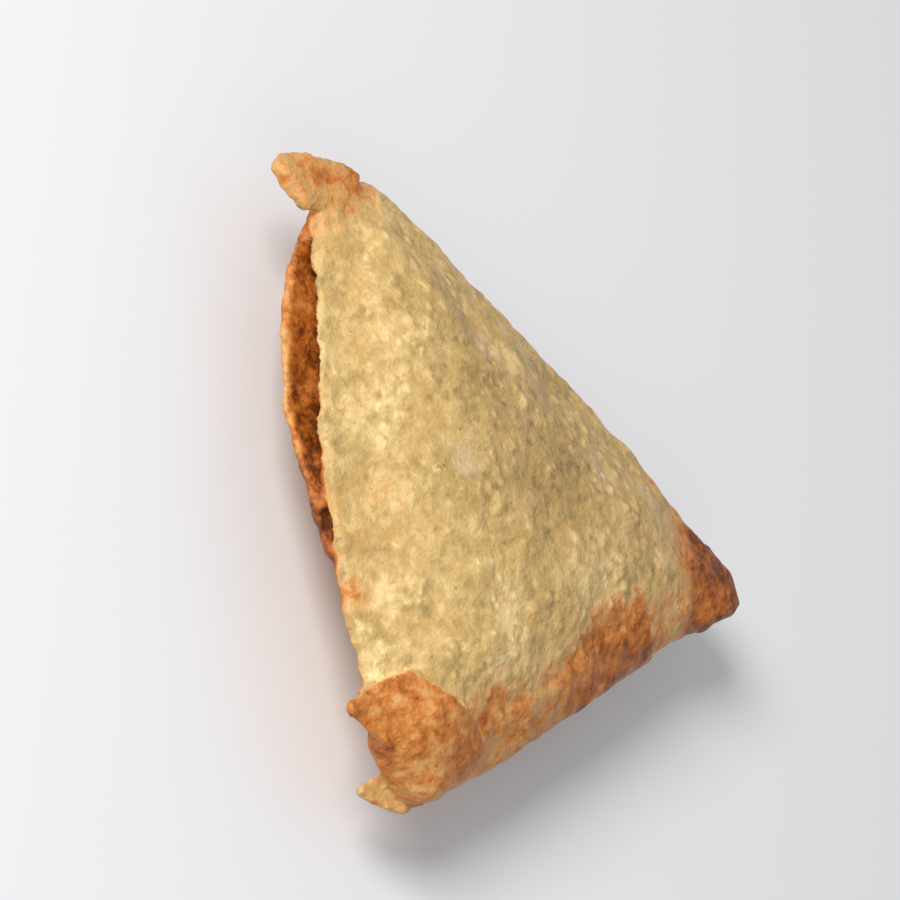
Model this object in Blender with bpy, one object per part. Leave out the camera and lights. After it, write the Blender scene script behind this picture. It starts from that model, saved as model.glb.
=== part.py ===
"""A fried samosa: a strip of thin pastry folded round its filling into a flat three-cornered parcel.

It lies on its back with the broad front sheet up. The base edge runs along X, the tip points to +Y,
and the left edge carries the two open lips that the last fold leaves.
"""

import math

import bmesh
import bpy
import numpy as np
from mathutils import Vector, noise
from mathutils.geometry import delaunay_2d_cdt

# Driving sizes, in metres. The triangle is the one in which the straight edges would meet.
BASE = 0.080
HEIGHT = 0.075
FRONT_CROWN = 0.0062  # rise of the front sheet above its rim
BACK_BULGE = 0.0108  # swell of the filling below the rim
SETTLED = 0.0016  # depth pressed flat where the parcel rests

# The filling sags most under the middle of the parcel.
SAG = 0.0020
SAG_PLACE = (0.0005, 0.0240)
SAG_REACH = 0.0190

# Distance from the base, right and left edges at which the sheets reach the full filling, and how
# quickly they round off towards it.
FRONT_FULL_AT = (0.0175, 0.0175, 0.0175)
FRONT_POWER = 1.75
BACK_FULL_AT = (0.0215, 0.0225, 0.0250)
BACK_POWER = (1.9, 1.9, 1.2)

# The rim along the base, right and left edges: its upper and lower faces, its roundness, its bow.
RIM_TOP = (0.0020, 0.0014, 0.0021)
RIM_UNDER = (-0.0022, -0.0014, 0.0006)
RIM_ROUND = (0.0030, 0.0020, 0.0007)
RIM_BOW = (0.0007, 0.0014, 0.0042)

# The open stretch of the left edge, where the back sheet drops away from the front one.
LIPS_FROM, LIPS_TO = 0.32, 0.98
LIPS_DROP = 0.0034
LIP_OUT = 0.0023  # how far the back lip bows out past the front one
LIP_DOWN = 0.0030
LIP_THICK = 0.0011
LONG_SLOT = (0.436, 0.908)
SHORT_SLOT = (0.337, 0.421)

# The wad of layers folded in at the foot of the left edge: its place, reach and extra thickness.
WAD_PLACE = (-0.0320, 0.0020)
WAD_REACH = 0.0080
WAD_FRONT = 0.0003
WAD_BACK = 0.0005

# Extra thickness where the last turns of the strip lie over the parcel.
FOOT_LAYERS = 0.0009
BAND_LAYERS = 0.0006
FLAP_LAYERS = 0.0007
NOSE_LAYERS = 0.0004
ABOVE, BELOW = 0.02, -0.02  # well clear of the parcel's front and back

# The pinched corner past the tip thins away from its root.
TIP_FOLD_ROOT = (-0.0020, 0.0650)
TIP_FOLD_TOP, TIP_FOLD_UNDER = 0.0026, 0.0002
TIP_FOLD_THINS = 0.10

RIM_STEP = 0.0021  # spacing of the points round the rim
FACE_STEP = 0.0025  # spacing of the points over a face
SLOPE_BLEND = 0.30  # how softly the slopes from neighbouring edges meet
LUMP = 0.0007  # how far the filling pushes the sheets in and out
CLOSEST = 0.00002  # points nearer than this are one point

CRUST_COLOUR = (0.62, 0.40, 0.17, 1.0)

FRONT, BACK = 1.0, -1.0

FOOT = Vector((-BASE / 2, 0.0))
NOSE = Vector((BASE / 2, 0.0))
TIP = Vector((0.0, HEIGHT))
EDGES = ((FOOT, NOSE), (NOSE, TIP), (TIP, FOOT))  # base, right, left: anticlockwise


def millimetres(*pairs):
    return [Vector((x / 1000, y / 1000)) for x, y in pairs]


# The blunt-cornered outline, anticlockwise from the foot; the last two corners end the left edge.
RIM_CORNERS = millimetres(
    (-29.3, 0.2), (16.0, -0.2), (37.4, -1.4), (39.3, 1.8), (5.6, 64.9), (-4.4, 68.2), (-33.6, 9.2)
)
RIM_RADII = (0.0030, 0.0100, 0.0016, 0.0016, 0.0018, 0.0016, 0.0030)

# ------------------------------------------------------------------ plan shapes
def outward_of(a, b):
    """The unit normal that points out of an anticlockwise outline along its edge from a to b."""
    return Vector(((b - a).y, -(b - a).x)).normalized()


def inset_from(edge, point):
    """How far the point lies inside one edge of the triangle."""
    a, b = EDGES[edge]
    return -(point - a).dot(outward_of(a, b))


def rounded(corners, radii, bows=None):
    """A closed outline with rounded corners; each side bows outwards by its own amount."""
    outline = []
    count = len(corners)
    for i, corner in enumerate(corners):
        before, after = corners[i - 1], corners[(i + 1) % count]
        start = corner + (before - corner).normalized() * radii[i]
        end = corner + (after - corner).normalized() * radii[i]
        for t in (0.0, 0.25, 0.5, 0.75, 1.0):
            outline.append(start * (1 - t) ** 2 + corner * 2 * t * (1 - t) + end * t ** 2)
        if bows and bows[i]:
            far = after + (corner - after).normalized() * radii[(i + 1) % count]
            for t in (k / 12 for k in range(1, 12)):
                bulge = outward_of(corner, after) * bows[i] * 4 * t * (1 - t)
                outline.append(end.lerp(far, t) + bulge)
    return outline


def spaced(outline, step):
    """The closed outline again, with its points evenly spaced."""
    ends = outline[1:] + outline[:1]
    lengths = [(b - a).length for a, b in zip(outline, ends)]
    count = max(6, round(sum(lengths) / step))
    gap = sum(lengths) / count
    points, walked = [], 0.0
    for a, b, length in zip(outline, ends, lengths):
        while len(points) < count and len(points) * gap < walked + length:
            points.append(a.lerp(b, (len(points) * gap - walked) / length))
        walked += length
    return points


def shifted(loop, outwards):
    """The loop with each of its points moved outwards by its own distance."""
    moved = []
    for i, point in enumerate(loop):
        moved.append(point + outward_of(loop[i - 1], loop[(i + 1) % len(loop)]) * outwards[i])
    return moved


def signed_inset(point, loop):
    """Distance from the point to a closed loop: positive inside it."""
    a = np.array(loop)
    side = np.roll(a, -1, axis=0) - a
    away = np.array(point) - a
    t = np.clip((away * side).sum(axis=1) / (side ** 2).sum(axis=1), 0.0, 1.0)
    nearest = np.sqrt((((away - side * t[:, None]) ** 2).sum(axis=1)).min())
    above = away[:, 1] < 0
    crosses = above != np.roll(above, -1)
    slope = np.divide(side[:, 0], side[:, 1], out=np.zeros(len(a)), where=side[:, 1] != 0)
    hits = np.count_nonzero(crosses & (away[:, 0] < away[:, 1] * slope))
    return float(nearest if hits % 2 else -nearest)


def rim_outline():
    base, right, left = RIM_BOW
    return spaced(rounded(RIM_CORNERS, RIM_RADII, (base, 0, 0, right, 0, left, 0)), RIM_STEP)


RIM = rim_outline()


# ------------------------------------------------------------------- the form
def by_edge(values, point):
    """A value that changes gently from one edge of the triangle to the next."""
    weights = [math.exp(-max(inset_from(k, point), 0.0) / 0.004) for k in range(3)]
    return sum(w * v for w, v in zip(weights, values)) / sum(weights)


def between(share, low, high, power=1.0):
    """0 at both ends of a stretch and 1 in its middle."""
    t = min(1.0, max(0.0, (share - low) / (high - low)))
    return math.sin(math.pi * t) ** power


def fullness(point, full_at, power):
    """0 at the rim, 1 over the filling: a soft minimum of the distances to the three edges."""
    spread = sum(math.exp(-inset_from(k, point) / full_at[k] / SLOPE_BLEND) for k in range(3))
    inset = min(1.0, max(0.0, -SLOPE_BLEND * math.log(spread)))
    return 1 - (1 - inset) ** power


def lumps(point, side):
    """The uneven filling pushing against the sheet, about -1 to 1."""
    coarse = noise.noise(Vector((point.x * 60, point.y * 60, 7.3 * side)))
    fine = noise.noise(Vector((point.x * 150, point.y * 150, 3.1 * side)))
    return coarse + 0.5 * fine


def left_share(point):
    """How far up the left edge a point lies: 0 at its foot and 1 at the tip."""
    high, low = RIM_CORNERS[-2:]
    return (point.y - low.y) / (high.y - low.y)


def rim_level(point, side):
    """Height of the rim's upper or lower face near a point of the plan."""
    away = (point - Vector(WAD_PLACE)).length / WAD_REACH
    wad = math.exp(-away ** 2)
    if side == FRONT:
        return by_edge(RIM_TOP, point) + WAD_FRONT * wad
    base, right, left = RIM_UNDER
    left -= LIPS_DROP * between(left_share(point), LIPS_FROM, LIPS_TO, 0.5)
    return by_edge((base, right, left), point) - WAD_BACK * wad


def rim_middle(point):
    return (rim_level(point, FRONT) + rim_level(point, BACK)) / 2


def sheet_height(point, side, layers=0.0):
    """Height of the front or back sheet over a point of the plan."""
    inset = signed_inset(point, RIM)
    turn = min(1.0, max(0.0, (inset + layers) / (by_edge(RIM_ROUND, point) + layers)))
    middle = rim_middle(point)
    half = abs(rim_level(point, side) - middle) + layers
    if side == FRONT:
        swell = FRONT_CROWN * fullness(point, FRONT_FULL_AT, FRONT_POWER)
    else:
        away = (point - Vector(SAG_PLACE)).length / SAG_REACH
        swell = BACK_BULGE * fullness(point, BACK_FULL_AT, by_edge(BACK_POWER, point))
        swell += SAG * math.exp(-away ** 2)
    inside = 1 - math.exp(-max(0.0, inset) / 0.003)
    rise = half * math.sqrt(1 - (1 - turn) ** 2) + inside * (swell + LUMP * lumps(point, side))
    return middle + side * rise


# -------------------------------------------------------------- closed solids
def solid(name, vertices, faces):
    """A closed triangulated solid with its faces turned outwards."""
    mesh = bpy.data.meshes.new(name)
    mesh.from_pydata([tuple(v) for v in vertices], [], faces)
    obj = bpy.data.objects.new(name, mesh)
    bpy.context.scene.collection.objects.link(obj)
    shape = bmesh.new()
    shape.from_mesh(mesh)
    bmesh.ops.recalc_face_normals(shape, faces=shape.faces)
    bmesh.ops.triangulate(shape, faces=shape.faces)
    shape.to_mesh(mesh)
    shape.free()
    return obj


def lattice(loop, step, margin):
    """A triangular lattice of points inside a loop, clear of it by a margin."""
    left, low = min(p.x for p in loop), min(p.y for p in loop)
    columns = int((max(p.x for p in loop) - left) / step) + 1
    rise = step * math.sqrt(3) / 2
    rows = int((max(p.y for p in loop) - low) / rise) + 1
    points = []
    for row in range(rows):
        for column in range(columns):
            point = Vector((left + (column + 0.5 * (row % 2)) * step, low + row * rise))
            if signed_inset(point, loop) > margin:
                points.append(point)
    return points


def triangulated(loop, inner):
    """Triangles over a loop and the points inside it, all given by their place in loop + inner."""
    points, count = loop + inner, len(loop)
    edges = [(i, (i + 1) % count) for i in range(count)]
    found = delaunay_2d_cdt([p * 1000 for p in points], edges, [], 1, 1e-6, True)
    origins, triangles = found[3], []
    for triangle in found[2]:
        corners = [origins[i][0] for i in triangle]
        middle = sum((points[i] for i in corners), Vector((0.0, 0.0))) / 3
        if signed_inset(middle, loop) > 0:
            triangles.append(corners)
    return triangles


def ring_inside(layers, share):
    """The rim of a wrapping moved inwards by a share of its roundness, but never past a tight corner."""
    distances = []
    for i, point in enumerate(RIM):
        inward = -outward_of(RIM[i - 1], RIM[(i + 1) % len(RIM)])
        distance = share * (by_edge(RIM_ROUND, point) + layers) - layers
        while distance > 0 and signed_inset(point + inward * distance, RIM) < 0.93 * distance:
            distance *= 0.9
        distances.append(-distance)
    return shifted(RIM, distances)


def pillow(name, layers=0.0):
    """The stuffed parcel as a closed solid, wrapped in extra layers of pastry of a given thickness."""
    rings = [ring_inside(layers, share) for share in (0.0, 0.13, 0.45, 1.0)]
    count, inner = len(RIM), lattice(rings[-1], FACE_STEP, 0.6 * FACE_STEP)
    points = [p for ring in rings for p in ring] + inner
    faces = []
    for start in range(0, (len(rings) - 1) * count, count):
        for i in range(count):
            j = (i + 1) % count
            faces.append([start + i, start + j, start + count + j, start + count + i])
    inmost = (len(rings) - 1) * count
    faces += [[inmost + i for i in t] for t in triangulated(rings[-1], inner)]
    rim = [Vector((p.x, p.y, rim_middle(p))) for p in points[:count]]
    front = [Vector((p.x, p.y, sheet_height(p, FRONT, layers))) for p in points[count:]]
    back = [Vector((p.x, p.y, sheet_height(p, BACK, layers))) for p in points[count:]]
    below = [[i if i < count else i + len(front) for i in face] for face in faces]
    return solid(name, rim + front + back, faces + below)


def slab(name, loop, top, bottom):
    """A closed solid over a plan outline, between two flat faces given as heights over the plan."""
    count = len(loop)
    upper = [Vector((p.x, p.y, top(p))) for p in loop]
    lower = [Vector((p.x, p.y, bottom(p))) for p in loop]
    walls = [[i, (i + 1) % count, count + (i + 1) % count, count + i] for i in range(count)]
    caps = [list(range(count)), [2 * count - 1 - i for i in range(count)]]
    return solid(name, upper + lower, caps + walls)


def loft(name, sections):
    """A closed solid through rings with the same number of points."""
    ring = len(sections[0])
    faces = [list(range(ring)), [len(sections) * ring - 1 - i for i in range(ring)]]
    for k in range(len(sections) - 1):
        for i in range(ring):
            j = (i + 1) % ring
            faces.append([k * ring + i, k * ring + j, (k + 1) * ring + j, (k + 1) * ring + i])
    return solid(name, [p for section in sections for p in section], faces)


def combine(target, other, operation):
    """Joins, cuts or crosses the target with another closed solid, which is used up."""
    modifier = target.modifiers.new(operation.lower(), "BOOLEAN")
    modifier.operation = operation
    modifier.solver = "EXACT"
    modifier.object = other
    graph = bpy.context.evaluated_depsgraph_get()
    result = bpy.data.meshes.new_from_object(target.evaluated_get(graph))
    target.modifiers.clear()
    target.data = result
    bpy.data.objects.remove(other)
    return target


# -------------------------------------------------------------- folded layers
def wrapped(loop, top, bottom, layers):
    """The part of an extra wrapping that lies within a plan outline, between two heights."""
    prism = slab("prism", loop, lambda p: top, lambda p: bottom)
    return combine(pillow("wrapping", layers), prism, "INTERSECT")


def foot_wrap():
    """The last turn of the strip, tucked round the foot of the left edge."""
    corners = millimetres(
        (-34.0, 15.4), (-26.8, 14.8), (-24.4, 10.2), (-19.0, 3.2),
        (-18.0, -6.0), (-46.0, -6.0), (-46.0, 15.4),
    )
    loop = rounded(corners, (0.001, 0.0012, 0.003, 0.003, 0.002, 0.002, 0.002))
    return wrapped(loop, ABOVE, BELOW, FOOT_LAYERS)


def base_band():
    """The strip's end turned up over the base edge; it stops short of the nose."""
    corners = millimetres((-22.0, 4.0), (-22.0, -6.0), (17.8, -6.0), (16.8, 3.6), (8.0, 4.7), (-6.0, 4.1))
    loop = rounded(corners, (0.002, 0.002, 0.002, 0.001, 0.003, 0.003))
    return wrapped(loop, ABOVE, -0.001, BAND_LAYERS)


def back_flap():
    """The same end where it lies across the back."""
    corners = millimetres((-31.0, -6.0), (19.5, -6.0), (16.5, 12.0), (0.0, 15.5), (-24.0, 13.0))
    loop = rounded(corners, (0.002, 0.002, 0.004, 0.006, 0.004))
    return wrapped(loop, 0.0005, BELOW, FLAP_LAYERS)


def nose_fold():
    """The doubled pastry round the nose."""
    corners = millimetres((29.5, -6.0), (46.0, -6.0), (46.0, 12.0), (34.5, 10.0), (30.5, 4.0))
    loop = rounded(corners, (0.002, 0.002, 0.002, 0.003, 0.003))
    return wrapped(loop, ABOVE, BELOW, NOSE_LAYERS)


# ----------------------------------------------------- the open left-hand edge
def left_edge(share, outwards, height):
    """A point near the left rim: its share of the way from foot to tip, how far out, how high."""
    high, low = RIM_CORNERS[-2:]
    bow = RIM_BOW[2] * 4 * share * (1 - share)
    plan = low.lerp(high, share) + outward_of(high, low) * (bow + outwards)
    return Vector((plan.x, plan.y, height))


def back_lip():
    """The back sheet's free edge, bowed out past the front one."""
    pieces = 22
    inner = -0.0040
    sections = []
    for k in range(pieces + 1):
        share = LIPS_FROM + (LIPS_TO - LIPS_FROM) * k / pieces
        spread = between(share ** 1.4, LIPS_FROM ** 1.4, LIPS_TO ** 1.4, 0.8)
        out = LIP_OUT * spread - 0.0008
        top = 0.0012 - LIP_DOWN * spread
        under = top - LIP_THICK
        sections.append([
            left_edge(share, out, top - 0.0002),
            left_edge(share, inner, top),
            left_edge(share, inner, under - 0.0012 * spread),
            left_edge(share, out - 0.0003, under),
            left_edge(share, out, under + 0.0003),
        ])
    return loft("back lip", sections)


def slot(stretch, top, bottom, depth):
    """The opening between the lips over a stretch of the edge; it narrows to nothing at both ends."""
    pieces = 12
    low, high = stretch
    middle = (top + bottom) / 2
    sections = []
    for k in range(pieces + 1):
        share = low + (high - low) * k / pieces
        width = 0.15 + 0.85 * between(share, low, high, 0.75)
        half = (top - bottom) / 2 * width
        reach = depth * width
        sections.append([
            left_edge(share, 0.0060, middle + half),
            left_edge(share, -0.25 * reach, middle + half),
            left_edge(share, -0.75 * reach, middle + 0.55 * half),
            left_edge(share, -reach, middle + 0.1 * half),
            left_edge(share, -reach, middle - 0.2 * half),
            left_edge(share, -0.75 * reach, middle - 0.65 * half),
            left_edge(share, -0.25 * reach, middle - half),
            left_edge(share, 0.0060, middle - half),
        ])
    return loft("slot", sections)


# ------------------------------------------------------------- loose corners
def upper_ear():
    """The corner of the front sheet that stands out past the foot of the left edge."""
    corners = millimetres(
        (-31.0, 13.4), (-32.6, 15.3), (-37.1, 14.2), (-35.4, 10.6), (-33.2, 7.6), (-30.0, 8.4)
    )
    loop = rounded(corners, (0.0006, 0.0008, 0.0006, 0.0020, 0.0008, 0.0008))

    def lie(point):
        return 0.0027 + 0.10 * inset_from(2, point)

    return slab("upper ear", loop, lie, lambda p: lie(p) - FOOT_LAYERS)


def lower_ear():
    """The corner of the back sheet at the foot, a little way below the front one."""
    corners = millimetres(
        (-27.6, 5.2), (-31.4, 4.9), (-34.9, 4.4), (-33.2, 1.8), (-29.6, -0.4), (-26.0, -0.9), (-25.2, 1.2)
    )
    loop = rounded(corners, (0.0008, 0.0008, 0.0005, 0.0015, 0.0015, 0.0008, 0.0008))
    return slab("lower ear", loop, lambda p: -0.0022, lambda p: -0.0031)


def tip_fold():
    """The strip's first corner, pinched flat where it stands out past the tip."""
    corners = millimetres(
        (-9.0, 66.0), (-9.9, 69.6), (-9.8, 72.4), (-7.6, 73.3),
        (-4.4, 71.5), (-0.8, 69.1), (2.6, 66.7), (-2.0, 64.0),
    )
    loop = rounded(corners, (0.0008, 0.0020, 0.0008, 0.0008, 0.0012, 0.0012, 0.0008, 0.0010))
    root = Vector(TIP_FOLD_ROOT)

    def top(point):
        return TIP_FOLD_TOP - TIP_FOLD_THINS * (point - root).length

    return slab("tip fold", loop, top, lambda p: TIP_FOLD_UNDER)


def floor_box(height):
    """Everything below a level."""
    corners = [Vector((x * BASE, y * BASE)) for x, y in ((-1, -1), (1, -1), (1, 2), (-1, 2))]
    return slab("floor", corners, lambda p: height, lambda p: height - BASE)


# -------------------------------------------------------------------- assembly
def build():
    body = pillow("samosa")
    for piece in (back_flap(), base_band(), nose_fold(), foot_wrap(), back_lip()):
        combine(body, piece, "UNION")
    combine(body, slot(LONG_SLOT, 0.0014, -0.0020, 0.0075), "DIFFERENCE")
    combine(body, slot(SHORT_SLOT, 0.0012, -0.0004, 0.0030), "DIFFERENCE")
    for piece in (upper_ear(), lower_ear(), tip_fold()):
        combine(body, piece, "UNION")
    lowest = min(v.co.z for v in body.data.vertices)
    combine(body, floor_box(lowest + SETTLED), "DIFFERENCE")
    return body


def tidied(obj):
    """Merges what the cuts left closer together than a fiftieth of a millimetre."""
    shape = bmesh.new()
    shape.from_mesh(obj.data)
    bmesh.ops.remove_doubles(shape, verts=shape.verts, dist=CLOSEST)
    bmesh.ops.dissolve_degenerate(shape, edges=shape.edges, dist=CLOSEST / 5)
    bmesh.ops.triangulate(shape, faces=shape.faces)
    bmesh.ops.recalc_face_normals(shape, faces=shape.faces)
    shape.to_mesh(obj.data)
    shape.free()


def stood_on_origin(obj):
    """Puts the middle of the object's footprint box on the origin, with its flat spot at z = 0."""
    places = [v.co for v in obj.data.vertices]
    low = [min(p[k] for p in places) for k in range(3)]
    high = [max(p[k] for p in places) for k in range(3)]
    shift = Vector(((low[0] + high[0]) / 2, (low[1] + high[1]) / 2, low[2]))
    for vertex in obj.data.vertices:
        vertex.co -= shift


def fried_pastry():
    material = bpy.data.materials.new("fried_pastry")
    material.use_nodes = True
    shader = material.node_tree.nodes["Principled BSDF"]
    shader.inputs["Base Color"].default_value = CRUST_COLOUR
    shader.inputs["Roughness"].default_value = 0.5
    shader.inputs["Metallic"].default_value = 0.0
    return material


def main():
    for obj in list(bpy.data.objects):
        bpy.data.objects.remove(obj)
    samosa = build()
    tidied(samosa)
    stood_on_origin(samosa)
    samosa.data.shade_smooth()
    samosa.data.set_sharp_from_angle(angle=math.radians(40))
    samosa.data.materials.clear()
    samosa.data.materials.append(fried_pastry())


main()
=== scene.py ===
import random

import bpy
import numpy as np
from mathutils import Matrix, Vector, noise
from mathutils.kdtree import KDTree


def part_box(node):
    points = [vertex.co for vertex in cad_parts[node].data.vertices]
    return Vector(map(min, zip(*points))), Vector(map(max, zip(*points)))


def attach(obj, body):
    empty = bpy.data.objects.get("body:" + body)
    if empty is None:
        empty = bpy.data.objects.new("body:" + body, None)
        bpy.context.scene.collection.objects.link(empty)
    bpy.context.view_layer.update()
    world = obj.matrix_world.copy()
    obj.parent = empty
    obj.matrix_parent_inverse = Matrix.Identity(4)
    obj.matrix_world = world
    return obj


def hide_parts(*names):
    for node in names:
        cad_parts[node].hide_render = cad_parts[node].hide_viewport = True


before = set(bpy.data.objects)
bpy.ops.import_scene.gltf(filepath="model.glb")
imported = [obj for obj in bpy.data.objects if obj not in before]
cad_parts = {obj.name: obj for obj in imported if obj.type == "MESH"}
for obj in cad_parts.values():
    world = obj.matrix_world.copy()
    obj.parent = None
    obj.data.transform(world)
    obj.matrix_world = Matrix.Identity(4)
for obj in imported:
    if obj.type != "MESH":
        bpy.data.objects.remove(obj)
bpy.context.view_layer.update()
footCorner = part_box("samosa")[0]
mm = 0.001
print("frame loaded")


# small helpers
def deselectAll():
    if bpy.context.object and bpy.context.object.mode != "OBJECT":
        bpy.ops.object.mode_set(mode="OBJECT")
    bpy.ops.object.select_all(action="DESELECT")


def makeActive(piece):
    deselectAll()
    piece.select_set(True)
    bpy.context.view_layer.objects.active = piece


def addAndApply(piece, kind, **values):
    makeActive(piece)
    modifier = piece.modifiers.new(kind.lower(), kind)
    for name, value in values.items():
        setattr(modifier, name, value)
    bpy.ops.object.modifier_apply(modifier=modifier.name)


def readVectors(piece, name):
    flat = np.empty(len(piece.data.vertices) * 3)
    piece.data.vertices.foreach_get(name, flat)
    return flat.reshape(-1, 3)


def movePoints(piece, points):
    piece.data.vertices.foreach_set("co", points.ravel())
    piece.data.update()


def weighGroup(piece, name, weights):
    group = piece.vertex_groups.new(name=name)
    for level in range(1, 21):
        chosen = np.nonzero(np.round(weights * 20) == level)[0]
        group.add([int(i) for i in chosen], level / 20, "REPLACE")


def paint(piece, name, values):
    layer = piece.data.attributes.new(name, "FLOAT", "POINT")
    layer.data.foreach_set("value", np.clip(values, 0, 1).astype(np.float32))


def softStep(low, high, value):
    t = np.clip((value - low) / (high - low), 0, 1)
    return t * t * (3 - 2 * t)


def fade(near, far, value):
    # whole up to near, gone from far on
    return 1 - softStep(near, far, value)


def neighbourMean(piece, values, rounds):
    edges = np.empty(len(piece.data.edges) * 2, dtype=np.int64)
    piece.data.edges.foreach_get("vertices", edges)
    a, b = edges.reshape(-1, 2).T
    count = np.bincount(a, minlength=len(values)) + np.bincount(b, minlength=len(values))
    for _ in range(rounds):
        total = np.bincount(a, values[b], len(values)) + np.bincount(b, values[a], len(values))
        values = 0.5 * values + 0.5 * total / np.maximum(count, 1)
    return values


def distanceToLine(points, line):
    best = np.full(len(points), 1e9)
    for a, b in zip(line, line[1:]):
        a, b = np.array(a, float), np.array(b, float)
        t = np.clip(((points - a) @ (b - a)) / ((b - a) @ (b - a)), 0, 1)
        best = np.minimum(best, np.linalg.norm(points - a - t[:, None] * (b - a), axis=1))
    return best


def signedInside(points, outline):
    inside = np.zeros(len(points), bool)
    for (ax, ay), (bx, by) in zip(outline, outline[1:] + outline[:1]):
        crosses = (ay > points[:, 1]) != (by > points[:, 1])
        atX = ax + (points[:, 1] - ay) * (bx - ax) / ((by - ay) or 1e-9)
        inside ^= crosses & (points[:, 0] < atX)
    gap = distanceToLine(points, outline + outline[:1])
    return np.where(inside, gap, -gap)


def distanceTo(points, x, y):
    return np.linalg.norm(points - np.array([x, y]), axis=1)


# the crust: the CAD solid's form, blistered and wrinkled as fried pastry is
crustSettings = {
    "weld": 0.01 * mm,
    "voxel": 0.34 * mm,
    "smoothRounds": 3,
    "lieRounds": 8,  # how far around a point its lie is judged
    "broadFaceRounds": 27,
    "blendRounds": 41,
    "ledgeReach": (1.6, 3.2),  # mm to either side of a ledge that melts
    "tipJoinReach": 1.2,  # mm more at the tip
    "restingHeight": (0.2, 1.6),  # mm above the floor
    "wander": (  # how folds stray: size and reach in mm, seed, where
        (7.0, 1.5, 21, "loose"),
        (2.4, 1.5, 22, "folds"),
    ),
    "wrinkles": (  # size and height in mm, seed
        (10.0, 0.9, 3),
        (3.8, 0.50, 5),
        (1.7, 0.22, 8),
    ),
    "blisters": (  # how many, radius from and to in mm, height over radius
        (110, 2.0, 3.8, 0.10),
        (1100, 0.9, 1.7, 0.17),
        (4200, 0.5, 0.9, 0.21),
    ),
    "clusterSize": 5.0 * mm,
    "clusterStrength": (0.75, 1.7),  # usual strength, and how much it varies
    "clusterLimits": (0.12, 1.5),
    "levelRounds": 41,  # blisters leave the surface's mean level where it was
    "cavityRounds": 10,
    "cavityRange": 0.34 * mm,
    "seed": 11,
}
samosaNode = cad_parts["samosa"]
crust = bpy.data.objects.new("friedCrust", samosaNode.data.copy())
bpy.context.scene.collection.objects.link(crust)
crust.data.materials.clear()
makeActive(crust)
bpy.ops.object.mode_set(mode="EDIT")
bpy.ops.mesh.select_all(action="SELECT")
bpy.ops.mesh.remove_doubles(threshold=crustSettings["weld"])
bpy.ops.object.mode_set(mode="OBJECT")
addAndApply(crust, "REMESH", mode="VOXEL", voxel_size=crustSettings["voxel"], adaptivity=0.0)
addAndApply(crust, "SMOOTH", factor=0.5, iterations=crustSettings["smoothRounds"])
print("crust remeshed", len(crust.data.polygons), "faces")

# where things are on the parcel, in millimetres from the foot corner of its box
leftEdge = [(3.3, 10.9), (7.5, 26.0), (14.5, 42.0), (23.5, 57.5), (32.5, 69.9)]
rimOutline = [(6.9, 1.6), (52.9, 1.2), (74.3, 0.2), (76.0, 3.4), (42.5, 66.6)] + leftEdge[::-1]
footPatch = [(2.0, 17.0), (10.1, 16.5), (12.5, 11.9), (17.9, 4.9), (18.9, -5.0), (-5.0, -5.0), (-5.0, 17.0)]
bandTop = [(14.9, 5.7), (30.9, 5.8), (44.9, 6.4), (53.7, 5.3)]
noseFold = [(71.4, 11.7), (67.4, 5.7), (66.4, -4.3)]
tipJoin = [(27.5, 67.0), (34.0, 67.2), (40.5, 67.8)]
tipCap = [
    (25.0, 63.0), (30.0, 64.6), (34.5, 65.2), (39.6, 66.2),
    (45.0, 68.0), (30.0, 80.0), (18.0, 80.0), (18.0, 63.0),
]
patchMelts = [(14.5, 8.6), (17.9, 4.9), (18.9, -4.0)]


def placeOnParcel(piece):
    return (readVectors(piece, "co") - np.array(footCorner)) / mm


def lieOfSurface(piece, rounds):
    normals = readVectors(piece, "normal")
    blurred = np.stack([neighbourMean(piece, normals[:, k], rounds) for k in range(3)], axis=1)
    return normals, np.linalg.norm(blurred, axis=1)


# calm the broad faces, and let the ledges of the band, nose, tip and patch melt into the front sheet
normals, agreement = lieOfSurface(crust, crustSettings["lieRounds"])
plan = placeOnParcel(crust)[:, :2]
ledges = np.minimum(distanceToLine(plan, bandTop), distanceToLine(plan, noseFold))
ledges = np.minimum(ledges, distanceToLine(plan, tipJoin) - crustSettings["tipJoinReach"])
ledges = np.minimum(ledges, distanceToLine(plan, patchMelts))
weighGroup(crust, "broadFaces", softStep(0.955, 0.99, agreement))
weighGroup(crust, "ledges", fade(*crustSettings["ledgeReach"], ledges) * softStep(0.0, 0.4, normals[:, 2]))
for group, rounds in (("broadFaces", "broadFaceRounds"), ("ledges", "blendRounds")):
    addAndApply(crust, "SMOOTH", factor=0.5, iterations=crustSettings[rounds], vertex_group=group)
print("crust smoothed")

place = placeOnParcel(crust)
plan, height = place[:, :2], place[:, 2]
normals, agreement = lieOfSurface(crust, crustSettings["lieRounds"])
inset = signedInside(plan, rimOutline)
resting = fade(*crustSettings["restingHeight"], height)  # the flat spot that it lies on
weighGroup(crust, "loose", 1 - 0.9 * resting)
weighGroup(crust, "folds", fade(0.86, 0.98, agreement) * (1 - resting))


def wrinkle(piece, size, depth, seed, group, direction="NORMAL"):
    texture = bpy.data.textures.new("wrinkles%d" % seed, "CLOUDS")
    texture.noise_scale = size * mm
    texture.noise_depth = 2
    texture.noise_basis = "ORIGINAL_PERLIN"
    texture.cloud_type = "GRAYSCALE" if direction == "NORMAL" else "COLOR"
    addAndApply(piece, "DISPLACE", texture=texture, texture_coords="LOCAL", strength=depth * mm,
                mid_level=0.5, direction=direction, vertex_group=group)


for size, reach, seed, group in crustSettings["wander"]:
    wrinkle(crust, size, reach, seed, group, "RGB_TO_XYZ")
basePoints = readVectors(crust, "co")
baseNormals = readVectors(crust, "normal")
for size, depth, seed in crustSettings["wrinkles"]:
    wrinkle(crust, size, depth, seed, "loose")
print("crust wrinkled")


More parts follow.
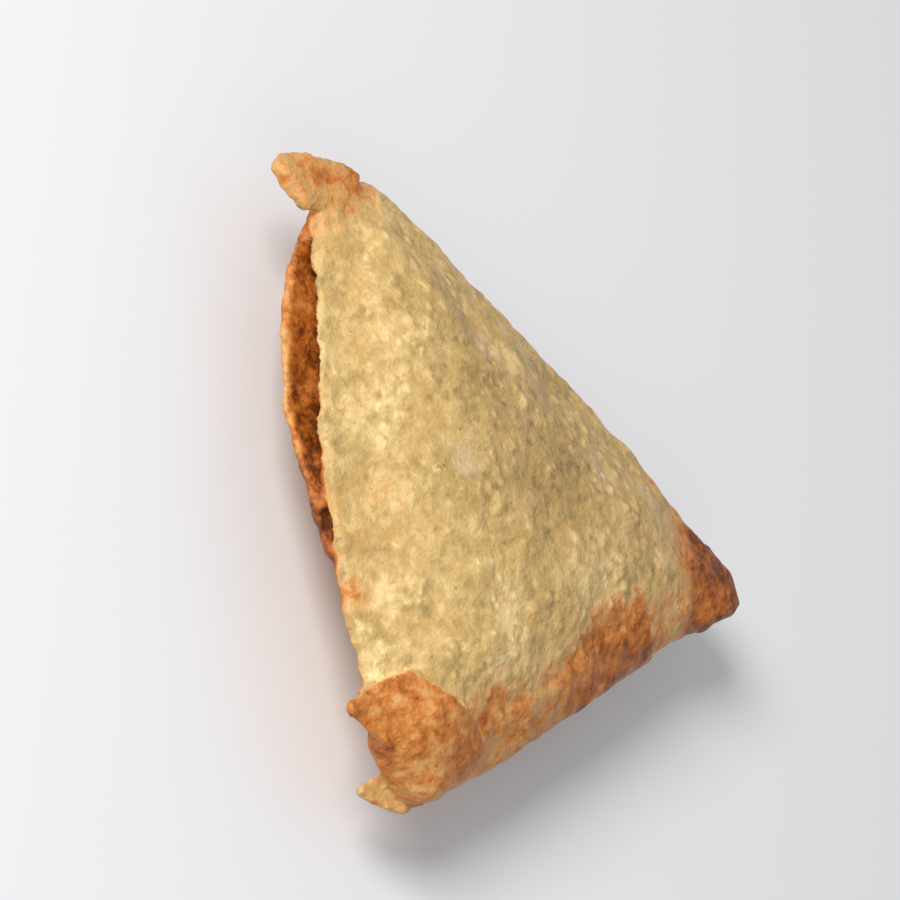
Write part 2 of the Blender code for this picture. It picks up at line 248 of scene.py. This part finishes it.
def raiseBlisters(piece, settings, strength):
    dice = random.Random(settings["seed"])
    points = readVectors(piece, "co")
    tree = KDTree(len(points))
    for i, point in enumerate(points):
        tree.insert(point, i)
    tree.balance()
    lift = np.zeros(len(points))
    tone = np.zeros(len(points))
    for count, smallest, largest, steepness in settings["blisters"]:
        layer = np.zeros(len(points))
        for _ in range(count):
            centre = dice.randrange(len(points))
            radius = (smallest + (largest - smallest) * dice.random() ** 2) * mm
            top = radius * steepness * (0.4 + 0.8 * dice.random()) * strength[centre]
            shade = dice.random() - 0.5
            for _, i, gap in tree.find_range(points[centre], radius):
                dome = (1 - (gap / radius) ** 2) ** 1.5
                if dome * top > layer[i]:
                    layer[i] = dome * top
                    tone[i] = 0.4 * tone[i] + shade * dome
        lift += layer
    return lift, tone


clusters = np.array([noise.noise(Vector(p) / crustSettings["clusterSize"]) for p in basePoints])
usualStrength, clusterSwing = crustSettings["clusterStrength"]
strength = np.clip(usualStrength + clusterSwing * clusters, *crustSettings["clusterLimits"])
strength = strength * (1 - 0.95 * resting) * (0.6 + 0.4 * softStep(0.3, 2.5, inset))  # less at the rim
lift, tone = raiseBlisters(crust, crustSettings, strength)
rise = lift - neighbourMean(crust, lift, crustSettings["levelRounds"])
points = readVectors(crust, "co") + readVectors(crust, "normal") * rise[:, None]
points[:, 2] = np.maximum(points[:, 2], 0.0)
movePoints(crust, points)
reliefAndPaintedShade = np.einsum("ij,ij->i", points - basePoints, baseNormals)
cavity = reliefAndPaintedShade - neighbourMean(crust, reliefAndPaintedShade, crustSettings["cavityRounds"])
print("crust blistered")

# what the fat did to it, with painted shade under the base and deep in the slot, painted highlights on the
# lip's edge and in cream dabs, and painted sheen spots: 0 is plain dough and 1 nearly burnt, with places and
# reaches in mm
fryingAndPaintedLightSettings = {
    "footPatch": 0.56,
    "band": (0.50, 0.78),  # at its foot end and its far end
    "elbow": 0.56,
    "elbowPlace": (20.0, 1.5),
    "nose": 0.92,
    "nosePlace": (77.0, 1.0),
    "noseReach": (9.0, 23.0),
    "rimByNose": 0.50,
    "tip": 0.42,
    "leftSpot": 0.48,
    "leftSpotPlace": (8.0, 27.0),
    # browning in the slot, its darker depth partly painted shade
    "slot": (0.88, 0.48),  # in its depth and towards the back lip
    # a painted highlight: less browning on the back lip's outer edge
    "lipEdgeHighlightAmount": 0.16,
    "rim": 0.22,
    "back": 0.38,
    # painted shade under the base edge
    "shadeUnderBase": 0.85,
    "lowerEar": 0.28,
    "lowerEarPlace": (3.0, 4.0),
    "lowerEarTop": 10.4,
    # spots: across, along, reach, strength
    "patchLess": ((8, 3.5, 4.5, 0.14),),
    "filling": ((29, 33, 9, 0.55), (56, 18, 6, 0.6)),
    "ruddy": ((14, 34, 6, 1),),
    "creamy": ((25, 16, 9, 0.85), (38, 12, 8, 0.8), (48, 12, 9, 1.0), (59, 13, 5, 0.5)),
    # painted highlights: cream dabs on the left of the face
    "paintedHighlightDabs": ((28.5, 58, 3, 1), (19.5, 47, 4, 1), (13, 36, 3, 1), (9.5, 21, 3.5, 1), (25, 15, 3, 0.6)),
    "stains": (
        (28, 60, 7, 1.0), (25.5, 52, 2.4, 1), (29, 43, 3.2, 0.8), (30.5, 31, 3, 0.9), (14, 34, 6, 0.9),
        (15, 20, 2.6, 0.9), (37, 14, 3.5, 0.7), (41, 47, 2.5, 0.6), (68, 14, 5, 0.8),
    ),
    "stainLevel": 0.52,
    "tipStain": ((33, 71, 7, 1.0),),
    # painted sheen: pale spots standing in for oily reflections
    "paintedSheen": ((43, 45, 2.4, 1), (30, 34, 2.8, 1), (54, 25, 2.8, 1), (60, 6, 2.6, 1), (22, 11.5, 2.6, 0.8)),
}


def spots(places):
    # soft round spots
    total = np.zeros(len(plan))
    for x, y, reach, depth in places:
        total = np.maximum(total, depth * np.exp(-(distanceTo(plan, x, y) / reach) ** 2))
    return total


def ovalSpot(x, y, reachAcross, reachAlong):
    return np.exp(-(((across - x) / reachAcross) ** 2 + ((along - y) / reachAlong) ** 2))


across, along = plan.T
facing = baseNormals[:, 2]
front = softStep(-0.1, 0.35, facing)
leftGap = distanceToLine(plan, leftEdge)
noseGap = distanceTo(plan, *fryingAndPaintedLightSettings["nosePlace"])

# inside the slot and along the back lip, darker deep in the slot as painted shade and lighter on the lip's
# outer edge as a painted highlight
beside = fade(5.0, 7.0, leftGap) * softStep(23, 27, along)
lipTop = 13.3 - 0.9 * softStep(50, 62, along)
lips = beside * fade(-0.8, 0.0, height - lipTop)
lipEdgeHighlight = softStep(1.6, 2.6, -inset) * lips
slotDeep, slotOut = fryingAndPaintedLightSettings["slot"]
slotBrownAndShade = slotDeep - (slotDeep - slotOut) * softStep(0.4, 1.9, -inset)

# the band, browner and taller away from the foot
bandReach = 6.5 + 3.5 * softStep(20, 46, across)
bandDepth = softStep(-4.5, 4.5, bandReach - along)
band = bandDepth * softStep(13, 24, across) * (0.55 + 0.45 * fade(52.5, 54.5, across))
bandNear, bandFar = fryingAndPaintedLightSettings["band"]
bandBrown = bandNear + (bandFar - bandNear) * softStep(25, 50, across)

browningAndShade = np.maximum.reduce([
    fryingAndPaintedLightSettings["footPatch"] * softStep(-0.25, 0.35, signedInside(plan, footPatch)),
    bandBrown * band,
    fryingAndPaintedLightSettings["elbow"] * fade(5.0, 13.0, distanceTo(plan, *fryingAndPaintedLightSettings["elbowPlace"])),
    fryingAndPaintedLightSettings["nose"] * fade(*fryingAndPaintedLightSettings["noseReach"], noseGap),
    fryingAndPaintedLightSettings["rimByNose"] * fade(0.0, 2.5, inset) * fade(16, 34, noseGap),
    fryingAndPaintedLightSettings["tip"] * softStep(-2.4, 1.2, signedInside(plan, tipCap)),
    fryingAndPaintedLightSettings["leftSpot"] * fade(1.0, 4.5, distanceTo(plan, *fryingAndPaintedLightSettings["leftSpotPlace"])),
    slotBrownAndShade * lips,
    fryingAndPaintedLightSettings["rim"] * fade(0.0, 1.5, inset) * softStep(0, 5, leftGap),
    fryingAndPaintedLightSettings["back"] * fade(-0.25, 0.1, facing),
    # painted shade on the underside by the base edge
    fryingAndPaintedLightSettings["shadeUnderBase"] * fade(-0.5, 0.15, facing) * fade(1.0, 5.0, along),
])
lowerEar = fade(2.0, 5.5, distanceTo(plan, *fryingAndPaintedLightSettings["lowerEarPlace"]))
lowerEar = lowerEar * (height < fryingAndPaintedLightSettings["lowerEarTop"])
browningAndShade = browningAndShade * (1 - lowerEar) + fryingAndPaintedLightSettings["lowerEar"] * lowerEar
# less browning on the lip's outer edge: a painted highlight
browningAndShade = browningAndShade - fryingAndPaintedLightSettings["lipEdgeHighlightAmount"] * lipEdgeHighlight - spots(fryingAndPaintedLightSettings["patchLess"])

# where the filling shows through the thin sheet
showing = np.maximum(ovalSpot(45, 27, 11, 9), 0.65 * ovalSpot(39, 43, 8, 13))
showing = np.maximum(showing, spots(fryingAndPaintedLightSettings["filling"]))

# where the dough stayed creamy: the left side and the lower middle; a thin painted highlight along the left
# edge and painted highlights in some dabs
paleAndHighlit = 0.62 * softStep(0.0, 1.0, inset) * fade(6.0, 17.0, leftGap)
paleAndHighlit *= 1 - 0.6 * softStep(46, 60, along) - 0.35 * spots(fryingAndPaintedLightSettings["ruddy"])
paleAndHighlit = np.maximum(paleAndHighlit, spots(fryingAndPaintedLightSettings["creamy"]))
# painted highlight: a thin light line along the cut left edge
paleAndHighlit += 0.35 * softStep(0.0, 0.8, inset) * fade(1.0, 4.0, leftGap)
# painted highlights in the cream dabs
paleAndHighlit += 0.5 * spots(fryingAndPaintedLightSettings["paintedHighlightDabs"])
paleAndHighlit = np.maximum(paleAndHighlit, lowerEar)

stains = fryingAndPaintedLightSettings["stainLevel"] * spots(fryingAndPaintedLightSettings["stains"])
stains = np.maximum.reduce([stains, spots(fryingAndPaintedLightSettings["tipStain"]), lowerEar])
# browning, with painted shade under the base and in the slot's depth
paint(crust, "browningAndShade", browningAndShade)
paint(crust, "showing", showing * softStep(0.5, 5.0, inset) * front)
# creamy dough together with painted highlights
paint(crust, "paleAndHighlit", paleAndHighlit * front)
paint(crust, "stains", stains * front)
# painted sheen spots on the front
paint(crust, "paintedSheen", spots(fryingAndPaintedLightSettings["paintedSheen"]) * front)
# painted highlight and shade: the blisters' tops lighter and their hollows darker
paint(crust, "reliefAndPaintedShade", 0.5 + cavity / crustSettings["cavityRange"])
paint(crust, "tone", 0.5 + tone)
print("crust painted")


# the finish
def feed(tree, socket, value):
    if hasattr(value, "is_linked"):
        tree.links.new(value, socket)
    else:
        socket.default_value = value


def mixColours(tree, factor, under, over):
    node = tree.nodes.new("ShaderNodeMix")
    node.data_type = "RGBA"
    for index, value in ((0, factor), (6, under), (7, over)):
        feed(tree, node.inputs[index], value)
    return node.outputs[2]


def calculate(tree, operation, *values):
    node = tree.nodes.new("ShaderNodeMath")
    node.operation = operation
    for socket, value in zip(node.inputs, values):
        feed(tree, socket, value)
    return node.outputs[0]


def blendSum(tree, parts):
    # adds up (value, weight) pairs, each value counted from its middle
    total = None
    for value, weight in parts:
        part = calculate(tree, "MULTIPLY", calculate(tree, "SUBTRACT", value, 0.5), weight)
        total = part if total is None else calculate(tree, "ADD", total, part)
    return total


def spread(tree, value, low, high, toLow=0.0, toHigh=1.0):
    node = tree.nodes.new("ShaderNodeMapRange")
    node.interpolation_type = "SMOOTHSTEP"
    limits = {"From Min": low, "From Max": high, "To Min": toLow, "To Max": toHigh}
    for name, amount in {"Value": value, **limits}.items():
        feed(tree, node.inputs[name], amount)
    return node.outputs["Result"]


def speckle(tree, place, scale, detail, roughness, distortion=0.0):
    node = tree.nodes.new("ShaderNodeTexNoise")
    tree.links.new(place, node.inputs["Vector"])
    node.inputs["Scale"].default_value = scale
    node.inputs["Detail"].default_value = detail
    node.inputs["Roughness"].default_value = roughness
    node.inputs["Distortion"].default_value = distortion
    return node.outputs["Fac"]


def painted(tree, name):
    node = tree.nodes.new("ShaderNodeAttribute")
    node.attribute_name = name
    return node.outputs["Fac"]


def colourSteps(tree, value, steps):
    node = tree.nodes.new("ShaderNodeValToRGB")
    ramp = node.color_ramp
    while len(ramp.elements) < len(steps):
        ramp.elements.new(0.5)
    for element, (position, colour) in zip(ramp.elements, steps):
        element.position = position
        element.color = colour
    tree.links.new(value, node.inputs["Fac"])
    return node.outputs["Color"]


pastrySettings = {
    "colours": {
        "cream": (0.86, 0.66, 0.32, 1),
        "straw": (0.64, 0.443, 0.175, 1),
        "gold": (0.515, 0.338, 0.122, 1),
        "olive": (0.36, 0.235, 0.082, 1),
        "ochre": (0.52, 0.30, 0.088, 1),
        "herb": (0.17, 0.11, 0.04, 1),
        # colour of the painted sheen
        "paintedSheen": (0.72, 0.60, 0.45, 1),
        "toffee": (0.72, 0.40, 0.145, 1),
        "orangeBrown": (0.53, 0.180, 0.030, 1),
        "brown": (0.32, 0.080, 0.007, 1),
        "darkBrown": (0.12, 0.03, 0.004, 1),
    },
    "grain": {  # noise: scale, detail, roughness, distortion
        "broad": (110, 3, 0.55, 0.4),
        "middling": (330, 4, 0.6, 0.5),
        "small": (800, 4, 0.6),
        "fine": (2000, 3, 0.6),
        "warm": (240, 4, 0.65, 1.0),
        "herbs": (680, 3, 0.55, 0.3),
        "oil": (150, 3, 0.6),
    },
    "doughSteps": ((0.0, "olive"), (0.34, "gold"), (0.60, "straw"), (1.0, "cream")),
    "brownSteps": ((0.18, "toffee"), (0.58, "orangeBrown"), (0.84, "brown"), (1.0, "darkBrown")),
    "lightness": 0.40,
    "paleGain": 0.26,
    "ochreMost": 0.72,
    "oliveMost": 0.75,
    "herbMost": 0.6,
    # how strong the painted sheen is at most
    "paintedSheenMost": 0.34,
    "roughness": (0.62, 0.34),  # dry and oily
    "specular": 0.34,
    "coat": 0.08,
    "coatRoughness": 0.22,
    "subsurface": 0.10,
    "subsurfaceRadius": (0.0016, 0.0008, 0.0003),
    "bumpStrength": 0.9,
    "bumpDistance": 0.28 * mm,
}


def friedPastry(settings):
    colours, grain = settings["colours"], settings["grain"]
    material = bpy.data.materials.new("friedPastry")
    material.use_nodes = True
    tree = material.node_tree
    shader = tree.nodes["Principled BSDF"]
    place = tree.nodes.new("ShaderNodeTexCoord").outputs["Object"]
    browningAndShade, showing, paleAndHighlit, paintedSheen, reliefAndPaintedShade, tone, stains = (
        painted(tree, name) for name in ("browningAndShade", "showing", "paleAndHighlit", "paintedSheen", "reliefAndPaintedShade", "tone", "stains"))
    broad, middling, small, fine, warmGrain, herbGrain, oilGrain = (
        speckle(tree, place, *grain[name])
        for name in ("broad", "middling", "small", "fine", "warm", "herbs", "oil"))
    doughSteps = [(position, colours[name]) for position, name in settings["doughSteps"]]
    brownSteps = [(position, colours[name]) for position, name in settings["brownSteps"]]

    # plain dough, creamier to the left, lighter on the tops of its blisters and darker in their hollows as
    # painted highlight and shade
    lightness = blendSum(tree, (
        (broad, 0.95), (middling, 1.1), (small, 0.65), (fine, 0.45), (reliefAndPaintedShade, 0.50), (tone, 0.85)))
    base = calculate(tree, "MULTIPLY_ADD", paleAndHighlit, settings["paleGain"], settings["lightness"])
    dough = colourSteps(tree, calculate(tree, "ADD", lightness, base), doughSteps)
    warm = blendSum(tree, ((warmGrain, 1.6), (tone, 0.6), (small, 0.5), (stains, 0.50)))
    ochre = spread(tree, warm, -0.18, 0.16, 0.0, settings["ochreMost"])
    dough = mixColours(tree, ochre, dough, colours["ochre"])

    # the filling, faint through the thin sheet, and painted shade deepening the blister hollows
    through = calculate(tree, "ADD", showing, blendSum(tree, ((middling, 1.3), (broad, 0.8), (reliefAndPaintedShade, -0.5))))
    olive = spread(tree, through, 0.1, 1.2, 0.0, settings["oliveMost"])
    dough = mixColours(tree, olive, dough, colours["olive"])
    herbs = calculate(tree, "ADD", calculate(tree, "MULTIPLY", showing, 0.14), herbGrain)
    herby = spread(tree, herbs, 0.64, 0.80, 0.0, settings["herbMost"])
    dough = mixColours(tree, herby, dough, colours["herb"])

    # painted sheen: pale spots in a few places, broken up by the grain
    paintedSheenMix = calculate(tree, "MULTIPLY", spread(tree, paintedSheen, 0.2, 1.0, 0.0, settings["paintedSheenMost"]),
                     spread(tree, middling, 0.35, 0.62, 0.25, 1.0))
    dough = mixColours(tree, paintedSheenMix, dough, colours["paintedSheen"])

    # browned folds, corners and edges, with painted shade in the blister hollows, under the base and deep in
    # the slot
    uneven = blendSum(tree, (
        (broad, 0.7), (middling, 0.9), (small, 0.7), (fine, 0.4), (reliefAndPaintedShade, -0.15), (tone, 0.3)))
    cookedAndShaded = calculate(tree, "ADD", browningAndShade, uneven)
    browned = colourSteps(tree, cookedAndShaded, brownSteps)
    crustColour = mixColours(tree, spread(tree, cookedAndShaded, 0.04, 0.56), dough, browned)
    tree.links.new(crustColour, shader.inputs["Base Color"])

    # oily in places
    oil = blendSum(tree, ((oilGrain, 1.0), (small, 0.8)))
    tree.links.new(spread(tree, oil, -0.30, 0.30, *settings["roughness"]), shader.inputs["Roughness"])
    shader.inputs["Specular IOR Level"].default_value = settings["specular"]
    shader.inputs["Coat Weight"].default_value = settings["coat"]
    shader.inputs["Coat Roughness"].default_value = settings["coatRoughness"]
    shader.inputs["Subsurface Weight"].default_value = settings["subsurface"]
    shader.inputs["Subsurface Radius"].default_value = settings["subsurfaceRadius"]
    shader.inputs["Subsurface Scale"].default_value = 1.0

    # grain finer than the mesh
    bump = tree.nodes.new("ShaderNodeBump")
    bump.inputs["Strength"].default_value = settings["bumpStrength"]
    bump.inputs["Distance"].default_value = settings["bumpDistance"]
    tree.links.new(blendSum(tree, ((small, 1.0), (fine, 0.6))), bump.inputs["Height"])
    tree.links.new(bump.outputs["Normal"], shader.inputs["Normal"])
    return material


makeActive(crust)
bpy.ops.object.shade_smooth()
crust.data.materials.append(friedPastry(pastrySettings))
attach(crust, "root")
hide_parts("samosa")
print("crust finished")

# the studio: a pale floor, soft light, and the camera
studio = {
    "cameraPlace": (-0.5876, 0.0802, 0.5000),
    "aim": (-0.0009, -0.0025, 0.0115),
    "imageUp": (0.309, 0.917, 0.250),
    "lens": 265,
    "nearest": 0.01,
    "keyFrom": (-0.50, 0.54, 0.56),
    "keyDistance": 0.75,
    "keySize": 0.32,
    "keyPower": 5.6,
    "fillFrom": (-0.80, -0.35, 0.60),
    "fillDistance": 0.9,
    "fillSize": 0.6,
    "fillPower": 1.1,
    "worldColour": (0.97, 0.98, 1.0, 1),
    "worldStrength": 0.44,
    "floorSize": 6,
    "floorColour": (0.77, 0.77, 0.78, 1),
    "floorRoughness": 0.6,
}
deselectAll()
bpy.ops.mesh.primitive_plane_add(size=studio["floorSize"], location=(0, 0, 0))
floor = bpy.context.object
floor.name = "floor"
floorFinish = bpy.data.materials.new("paleFloor")
floorFinish.use_nodes = True
floorShader = floorFinish.node_tree.nodes["Principled BSDF"]
floorShader.inputs["Base Color"].default_value = studio["floorColour"]
floorShader.inputs["Roughness"].default_value = studio["floorRoughness"]
floor.data.materials.append(floorFinish)


def softLight(name):
    direction = Vector(studio[name + "From"])
    light = bpy.data.lights.new(name + "Light", "AREA")
    light.shape = "DISK"
    light.size = studio[name + "Size"]
    light.energy = studio[name + "Power"]
    lamp = bpy.data.objects.new(name + "Light", light)
    bpy.context.scene.collection.objects.link(lamp)
    lamp.location = direction.normalized() * studio[name + "Distance"]
    lamp.rotation_euler = direction.to_track_quat("Z", "Y").to_euler()


softLight("key")
softLight("fill")
world = bpy.data.worlds.new("studioLight")
bpy.context.scene.world = world
world.use_nodes = True
background = world.node_tree.nodes["Background"]
background.inputs["Color"].default_value = studio["worldColour"]
background.inputs["Strength"].default_value = studio["worldStrength"]

cameraData = bpy.data.cameras.new("camera")
cameraData.lens = studio["lens"]
cameraData.clip_start = studio["nearest"]
camera = bpy.data.objects.new("camera", cameraData)
bpy.context.scene.collection.objects.link(camera)
backwards = (Vector(studio["cameraPlace"]) - Vector(studio["aim"])).normalized()
upwards = Vector(studio["imageUp"])
upwards = (upwards - backwards * upwards.dot(backwards)).normalized()
turn = Matrix((upwards.cross(backwards), upwards, backwards)).transposed().to_4x4()
turn.translation = Vector(studio["cameraPlace"])
camera.matrix_world = turn
bpy.context.scene.camera = camera
bpy.context.scene.view_settings.view_transform = "Standard"
print("studio set")
